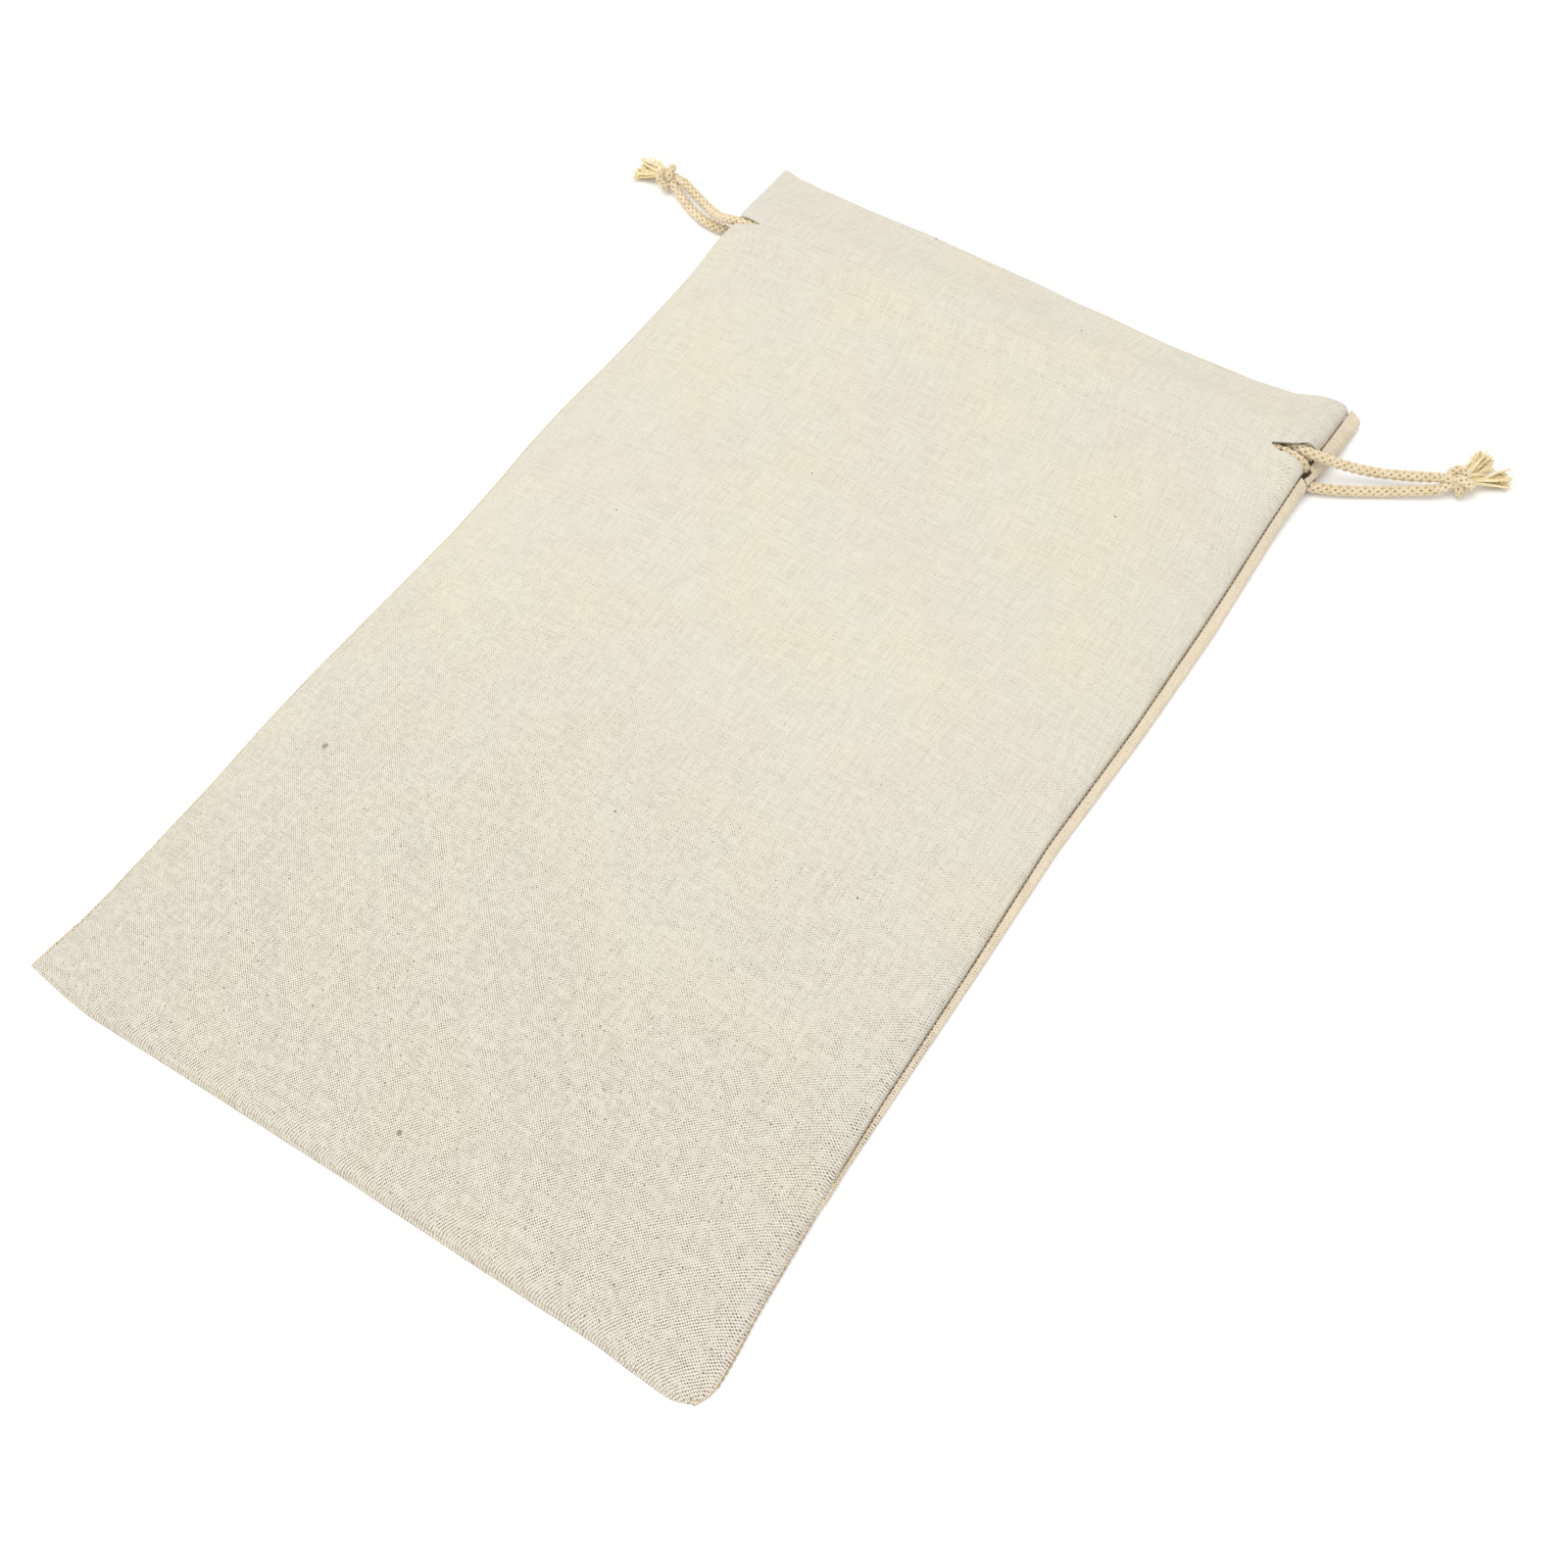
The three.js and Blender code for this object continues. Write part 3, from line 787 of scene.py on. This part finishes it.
def tassel_piece(name, centre, heading, body, bunches, seed):
    """The frayed ends of both cord ends. Each bunch has a lean from the heading, a length and a spread."""
    draw = np.random.default_rng(seed)
    made = Parts()
    for lean, length, spread in bunches:
        angle = heading + lean
        root = centre + np.array([math.cos(angle), math.sin(angle), 0]) * 2.2
        for _ in range(YARNS):
            turn = angle + draw.uniform(-1, 1) * spread
            direction = np.array([math.cos(turn), math.sin(turn), draw.normal(0, 0.12)])
            side = np.array([-math.sin(turn), math.cos(turn), 0])
            start = root + side * draw.normal(0, 0.7) + np.array([0, 0, draw.normal(-0.3, 0.75)])
            reach = length * draw.uniform(0.78, 0.98)
            line, radii = yarn(start, direction, side, reach, YARN_RADIUS, draw, 0.9)
            made.add(*tube(line, radii))
            for _ in range(FINE_YARNS):
                tip = side * draw.normal(0, 0.2) + direction * 0.9 + np.array([0, 0, draw.normal(0, 0.15)])
                short = reach * draw.uniform(0.25, 0.42)
                fine, thin = yarn(line[FINE_START], tip, side, short, FINE_RADIUS, draw, 0.6)
                made.add(*tube(fine, thin, 5))
    return make_piece(f"{name}_fibres", made, [FIBRE_LOOK], body, (name,))


def drawstring(hand, side, front_y, back_y, tails, knot_at, towards, tilt, bunches):
    """One drawstring: its turn stays with the bag, and the rest is pulled out of its own side's slit."""
    body = f"{hand}_drawstring"
    towards = np.array(towards, float) - np.array(knot_at[:2], float)
    heading = math.atan2(towards[1], towards[0])
    for layer, y, z in (("front", front_y, tails[0][0][2]), ("back", back_y, tails[1][0][2])):
        run = np.array([(-side * (TURN_START - TURN_GAP), y, z), (side * RUN_END, y, z)])
        cord_piece(f"{hand}_cord_{layer}_run", spaced(run, 1.0), body, step=0.8, sides=5)
    cord_piece(f"{hand}_cord_turn", turn_line(-side, front_y, back_y), "bag")
    ends = [tails[0][-1], tails[1][-1]]
    knot = knot_piece(f"{hand}_cord_knot", knot_at, towards, ends, body, tilt)
    seed = SEED + int(side > 0)
    tassel = tassel_piece(f"{hand}_cord_tassel", np.array(knot_at, float), heading, body, bunches, seed)
    free_cord(f"{hand}_cord_front_tail", tails[0], body)
    free_cord(f"{hand}_cord_back_tail", tails[1], body)


drawstring(
    "right", 1, CORD_YS[1], CORD_YS[0], [RIGHT_FRONT_TAIL, RIGHT_BACK_TAIL],
    knot_at=(136.2, 157.6, 4.8), towards=(142.5, 172), tilt=0.5,
    bunches=[(0.24, 15.5, 0.24), (-0.34, 14, 0.2)],
)
drawstring(
    "left", -1, CORD_YS[0], CORD_YS[1], [LEFT_FRONT_TAIL, LEFT_BACK_TAIL],
    knot_at=(-132.8, 147.9, 4.8), towards=(-147.3, 150.6), tilt=0.2,
    bunches=[(0.18, 12.2, 0.22), (-0.2, 12.4, 0.2)],
)


# ---- Panels ----
SEAM_TUCK = 0.75  # how far the front panel dips into its side seams
FOLD_GAP = 1.1  # between the outer faces of a folded edge's two layers
FRONT_FOLD_RADIUS = 0.55
BACK_FOLD_RADIUS = 0.52
SIDE_FOOT = 1.2  # how far inside its seam the back panel leaves the floor
HEM_INSET = 2.6  # how far inside the seams the back panel's hem ends


def mouth_fold(edge, radius, degrees):
    """Rows that carry a layer's top row over towards the inside of the bag."""
    fold = []
    for angle in np.radians(degrees):
        around = edge.copy()
        around[:, 1] += radius * math.sin(angle)
        around[:, 2] -= radius * (1 - math.cos(angle))
        fold.append(around)
    return np.array(fold)


def midway(values):
    return values[:-1] / 2 + values[1:] / 2


def row_gaps(rows, low, high):
    """Which gaps between rows lie from low to high."""
    return (rows[:-1] > low - 0.01) & (rows[1:] < high + 0.01)


def hem_pucker(y):
    return 0.9 * np.exp(-(((y - HEM_LINE) / 2.0) ** 2))


def front_rows():
    low = [np.linspace(-170, -166, 5), np.linspace(-166, 110, 93), np.linspace(110, 124, 12)]
    low = [part[:-1] for part in low] + [np.linspace(124, SLIT_ROW - 0.05, 16)]
    high = [np.linspace(SLIT_ROW + 0.05, 152, 26)[:-1], np.linspace(152, 170, 16)]
    return np.concatenate(low + high)


def front_columns():
    edge = np.concatenate([[0, 0.15, 0.3, 0.5, 0.8], np.linspace(1.2, 16, 19), [18]]) / 200
    return np.concatenate([edge, np.linspace(0.1, 0.9, 56), 1 - edge[::-1]])


def front_outer(rows, columns):
    """The outer layer: its points, and how much the slits' lips thicken it."""
    nominal, across = np.meshgrid(rows, columns, indexing="ij")
    x = across_bag(nominal, across)
    y = nominal + slit_shift(x, nominal)
    x = across_bag(y, across)
    tuck = SEAM_TUCK * (1 - smoothstep(inset(x, y), 0, 0.6))
    past_right = smoothstep(x, RIGHT_LIPS["start"] - 2, RIGHT_LIPS["start"] + 1)
    past_left = smoothstep(-x, -LEFT_LIPS["start"] - 2, -LEFT_LIPS["start"] + 1)
    beyond = np.minimum(past_right + past_left, 1)
    clear = np.where(x > 0, smoothstep(x, *RIGHT_LIP_CLEAR), 1)
    from_slit = np.minimum(abs(y - lip_line(x, "lower")), abs(y - lip_line(x, "upper")))
    z = front_height(x, y) - tuck - LIP_DROOP * beyond * clear * np.exp(-((from_slit / 1.4) ** 2))
    thicker = (LIP - CLOTH) * beyond * clear * (1 - smoothstep(from_slit, 0.8, 2.2))
    return np.stack([x, shown_y(x, y, FRONT_MOUTH), z], axis=-1), thicker


def front_inner(rows, columns):
    """The hem's layer inside, from the mouth down: under the cords, then close to the outer layer."""
    y, across = np.meshgrid(rows, columns, indexing="ij")
    x = across_bag(y, 0.012 + 0.976 * across)
    top = front_height(x, y)
    apart = np.where(y > 146, FOLD_GAP + 3 * (1 - smoothstep(y, 146, 168)), 99)
    apart = np.where(y < 130, CLOTH + 0.05 + 0.9 * np.maximum(y - HEM_LINE, 0), apart)
    under_cords = np.maximum(body_height(x, y) - 0.3, top - apart)
    z = np.minimum(under_cords, top - FOLD_GAP) - 0.5 * CLOTH
    z = z - 0.25 * smoothstep(HEM_LINE - y, 0, 4)
    return np.stack([x, shown_y(x, y, FRONT_MOUTH), z], axis=-1)


def slit_facing(start, end, clear_of, reach_to, low):
    """The turned-in edge of a slit's upper lip.

    It starts behind the lip, no lower along the bag than clear_of, goes down behind the cord, and curves
    under it to reach_to, at height low.
    """
    along, turn = np.meshgrid(np.linspace(start, end, 18), np.linspace(0, math.pi / 2, 12), indexing="ij")
    behind = np.maximum(lip_line(along, "upper") + 0.35, clear_of)
    top = front_height(along, behind) - 0.95
    y = reach_to + (behind - reach_to) * np.maximum(np.cos(turn), 0) ** 0.7
    z = top + (low - top) * np.sin(turn) ** 0.7
    grid = np.stack([along, y, z], axis=-1)
    return thickened(grid.reshape(-1, 3), grid_quads(*grid.shape[:2])[:, ::-1], 0.35)


def front_panel():
    """Outer layer up to the mouth, folded over, then the inner layer of the hem back down inside."""
    rows, columns = front_rows(), front_columns()
    inner_rows = np.concatenate([
        np.linspace(169.5, 150, 10), np.linspace(147, HEM_LINE, 12), [HEM_TURN + 2.5, HEM_TURN],
    ])
    outer, thicker = front_outer(rows, columns)
    fold = mouth_fold(outer[-1], FRONT_FOLD_RADIUS, [30, 60, 90, 120, 150])
    inner = front_inner(inner_rows, columns)
    grid = np.concatenate([outer, fold, inner])
    count_rows, count_columns = grid.shape[:2]

    keep = np.ones((count_rows - 1, count_columns - 1), bool)
    slit = np.count_nonzero(rows < SLIT_ROW) - 1
    at = midway(outer[slit, :, 0])
    keep[slit] = (at > LEFT_LIPS["start"]) & (at < RIGHT_LIPS["start"])
    inner_start = len(rows) + len(fold)
    for k in np.flatnonzero((inner_rows[:-1] < 143) & (inner_rows[1:] > 131)):
        at = midway(inner[k, :, 0])
        keep[inner_start + k] = (at > LEFT_LIPS["start"] - 2) & (at < RIGHT_LIPS["start"] + 2)

    thickness = np.full(grid.shape[:2], CLOTH)
    thickness[: len(rows)] += thicker
    made = Parts()
    quads = grid_quads(count_rows, count_columns, keep)
    made.add(*thickened(grid.reshape(-1, 3), quads, thickness.reshape(-1)))
    made.add(*slit_facing(**RIGHT_FACING))
    made.add(*slit_facing(**LEFT_FACING))
    return make_piece("front_panel_cloth", made, [CLOTH_LOOK], "bag", ("front_panel",))


def back_side(y, t, seam, rise, extent, sign):
    """Round a side, from the floor out and up, then back in to the seam, as t goes from 0 to 1."""
    foot = seam(y) - sign * SIDE_FOOT
    out = np.sin(np.pi * t ** 0.7 * 0.9) ** 0.7
    home = smoothstep(t, 0.55, 1.0)
    bulge = (extent(y) + SIDE_FOOT) * out * (1 - home)
    at_seam = (SIDE_FOOT + np.clip(extent(y), -0.3, 0.3)) * home
    reach = foot + sign * (bulge + at_seam + extent(y) * 0.45 * home * (1 - t))
    lowered = 1.6 * smoothstep(y, 134, 137) * (1 - smoothstep(y, 142.5, 146))
    top = rise(y) - 0.25 - lowered
    tuck = 0.7 * smoothstep(t, 0.9, 1.0)
    return reach, np.maximum(top * (0.5 - 0.5 * np.cos(np.pi * t ** 0.9)) - tuck, 0)


def back_outer():
    """The layer on the floor and round both sides, as points and the quads that the slits leave."""
    rows = np.unique(np.concatenate([
        np.linspace(-170, -164, 7), np.linspace(-164, 110, 80), np.linspace(110, STRIP_LOW, 16),
        [BRIDGE_LOW], np.linspace(STRIP_LOW, STRIP_HIGH, 14), np.linspace(STRIP_HIGH, LEFT_STRIP_HIGH, 7),
        np.linspace(LEFT_STRIP_HIGH, 170, 14),
    ]))
    y = rows[:, None]
    roll = np.linspace(0, 1, 12)[None, 1:]
    left_x, left_z = back_side(y, roll, LEFT_SEAM, LEFT_RISE, LEFT_ROLL, -1)
    right_x, right_z = back_side(y, roll, RIGHT_SEAM, RIGHT_RISE, RIGHT_ROLL, 1)
    start, end = LEFT_SEAM(y) + SIDE_FOOT, RIGHT_SEAM(y) - SIDE_FOOT
    middle_x = start + (end - start) * np.linspace(0, 1, 60)[None, :]
    x = np.concatenate([left_x[:, ::-1], middle_x, right_x], axis=1)
    z = np.concatenate([left_z[:, ::-1], np.zeros_like(middle_x), right_z], axis=1)
    z = z + hem_pucker(y) * (z < 0.1)
    grid = np.stack([x, shown_y(x, y, BACK_MOUTH), z], axis=-1)

    count_rows, count_columns = grid.shape[:2]
    wall = roll.shape[1] - 1  # how many of the quads in a row stand up at each side
    keep = np.ones((count_rows - 1, count_columns - 1), bool)
    keep[row_gaps(rows, STRIP_LOW, LEFT_STRIP_HIGH), :wall] = False
    keep[row_gaps(rows, STRIP_LOW, STRIP_HIGH), -wall:] = False
    keep[row_gaps(rows, BRIDGE_LOW, STRIP_HIGH), -5:-3] = True
    return grid, grid_quads(count_rows, count_columns, keep)[:, ::-1]


def back_hem():
    """The layer of the hem inside, from its turned edge up over the cords to the fold at the mouth."""
    rows = [np.linspace(HEM_TURN, 131, 9), np.linspace(132, 143, 12), np.linspace(145, 169.6, 12)]
    y, across = np.meshgrid(np.concatenate(rows), np.linspace(0, 1, 60), indexing="ij")
    x = LEFT_SEAM(y) + HEM_INSET + (RIGHT_SEAM(y) - LEFT_SEAM(y) - 2 * HEM_INSET) * across
    z = 2 * CLOTH + 0.05 + BACK_RIDGE(y) * 0.95 - 0.45 * (y > HEM_LINE)
    z = np.maximum(z, 1.05) + hem_pucker(y)
    hem = np.stack([x, shown_y(x, y, BACK_MOUTH), z], axis=-1)
    hem = np.concatenate([hem, mouth_fold(hem[-1], BACK_FOLD_RADIUS, [25, 60, 95, 130, 165])])
    return hem, grid_quads(*hem.shape[:2])


def back_panel():
    """Lies on the floor, comes up round both sides to the seams, and folds into its hem at the mouth."""
    made = Parts()
    for grid, quads in (back_outer(), back_hem()):
        made.add(*thickened(grid.reshape(-1, 3), quads, CLOTH))
    return make_piece("back_panel_cloth", made, [BACK_WARM_SHADE_LOOK], "bag", ("back_panel",))


front = front_panel()
back = back_panel()


# ---- Stitching ----
HEM_STITCH = {"pitch": 2.4, "length": 2.0, "radius": 0.14, "sink": 0.12}
SIDE_STITCH = {"pitch": 1.6, "length": 1.15, "radius": 0.2, "sink": 0.25}
BOTTOM_STITCH = {"pitch": 1.6, "length": 1.15, "radius": 0.18, "sink": 0.25}
SIDE_ROWS = (("side_seam", BOTTOM + 4, 132), ("mouth_seam", 147, 168))  # below and above the cord slit


def stitch_row(name, line, up, look, pitch, length, radius, sink):
    """Separate stitches along a line. Each one dips into the cloth at both ends, by the given sink."""
    line = spaced(line, 0.2)
    s = arc_length(line)
    made = Parts()
    for start in np.arange(0.2, s[-1] - length, pitch):
        at = start + length * np.linspace(0, 1, 6)
        centre = np.stack([np.interp(at, s, line[:, k]) for k in range(3)], axis=1)
        arch = np.sin(np.linspace(0, math.pi, 6))[:, None]
        centre = centre + np.array(up) * (arch * (radius + sink) - sink)
        made.add(*tube(centre, radius * (0.7 + 0.3 * arch[:, 0])))
    make_piece(f"{name}_stitches", made, [look], "bag", (f"{name}_stitching",))


def along_seam(seam, rise, low, high, side):
    """A side seam's line: just outside the front panel's edge, and down in the dip beside it."""
    y = np.arange(low, high, 0.5)
    x = seam(y) + side * 0.18
    return np.stack([x, shown_y(x, y, FRONT_MOUTH), rise(y) - 0.55], axis=1)


def add_stitching():
    x = np.arange(LEFT_SEAM(HEM_LINE) + 6, RIGHT_SEAM(HEM_LINE) - 4, 0.5)
    y = np.full_like(x, HEM_LINE)
    above = np.stack([x, y, front_height(x, y)], axis=1)
    stitch_row("front_hem", above, (0, 0, 1), HEM_THREAD_LOOK, **HEM_STITCH)
    under = np.stack([x, y, np.full_like(x, 0.82)], axis=1)
    stitch_row("back_hem", under, (0, 0, -1), HEM_THREAD_LOOK, **HEM_STITCH)
    sides = (("left", LEFT_SEAM, LEFT_RISE, -1), ("right", RIGHT_SEAM, RIGHT_RISE, 1))
    for hand, seam, rise, side in sides:
        for name, low, high in SIDE_ROWS:
            line = along_seam(seam, rise, low, high, side)
            stitch_row(f"{hand}_{name}", line, (side * 0.3, 0, 1), THREAD_LOOK, **SIDE_STITCH)
    x = np.arange(LEFT_SEAM(BOTTOM) + 1.5, RIGHT_SEAM(BOTTOM) - 0.5, 0.5)
    y = np.full_like(x, BOTTOM + 0.8)
    bottom = np.stack([x, y + BOTTOM_BOW(x), front_height(x, y) - 0.1], axis=1)
    stitch_row("bottom_seam", bottom, (0, -0.3, 1), BOTTOM_THREAD_LOOK, **BOTTOM_STITCH)


add_stitching()
